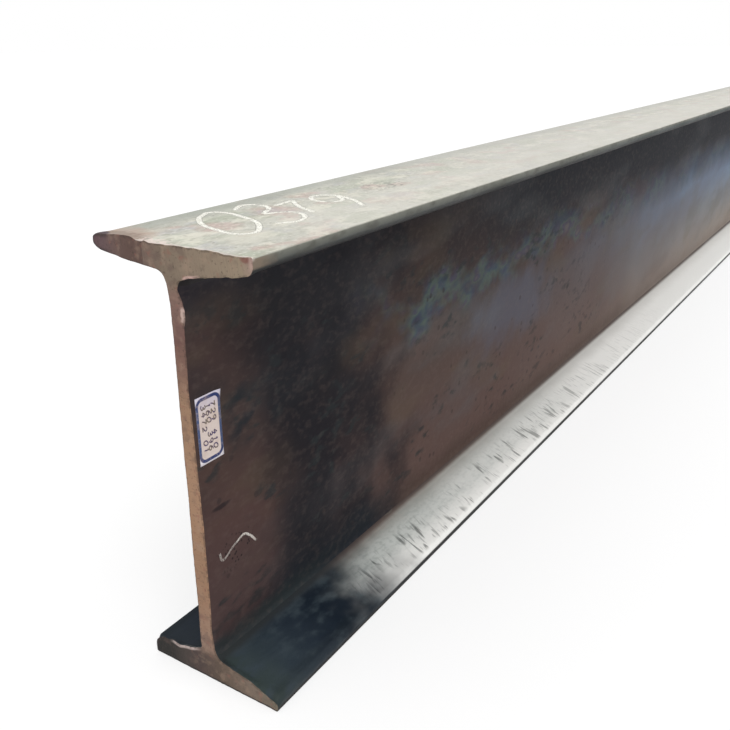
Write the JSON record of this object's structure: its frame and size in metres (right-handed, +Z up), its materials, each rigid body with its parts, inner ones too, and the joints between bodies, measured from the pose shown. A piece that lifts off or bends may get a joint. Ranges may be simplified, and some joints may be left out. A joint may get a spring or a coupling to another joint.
{
  "type": "steel i-beam",
  "caption": "Hot-rolled steel I-beam with tapered flanges, root fillets and rounded toes, cut square to a stock length and left bare with mill scale and rust.",
  "frame": {"origin": "middle of the underside of the bottom flange, halfway along the beam", "axes": "+X along the beam, away from the end with the label and the chalk number; +Z up through the web; +Y across the flanges, so that the web's labelled side faces -Y"},
  "size_m": [6, 0.138, 0.36],
  "materials": {
    "rolled_steel": "as rolled, with mill scale, thin rust and flame-cut ends",
    "label_paper": "matt paper with a printed blue border",
    "chalk": "dry white marking chalk"
  },
  "bodies": {
    "root": {"steel_beam": "rolled_steel"}
  },
  "joints": []
}
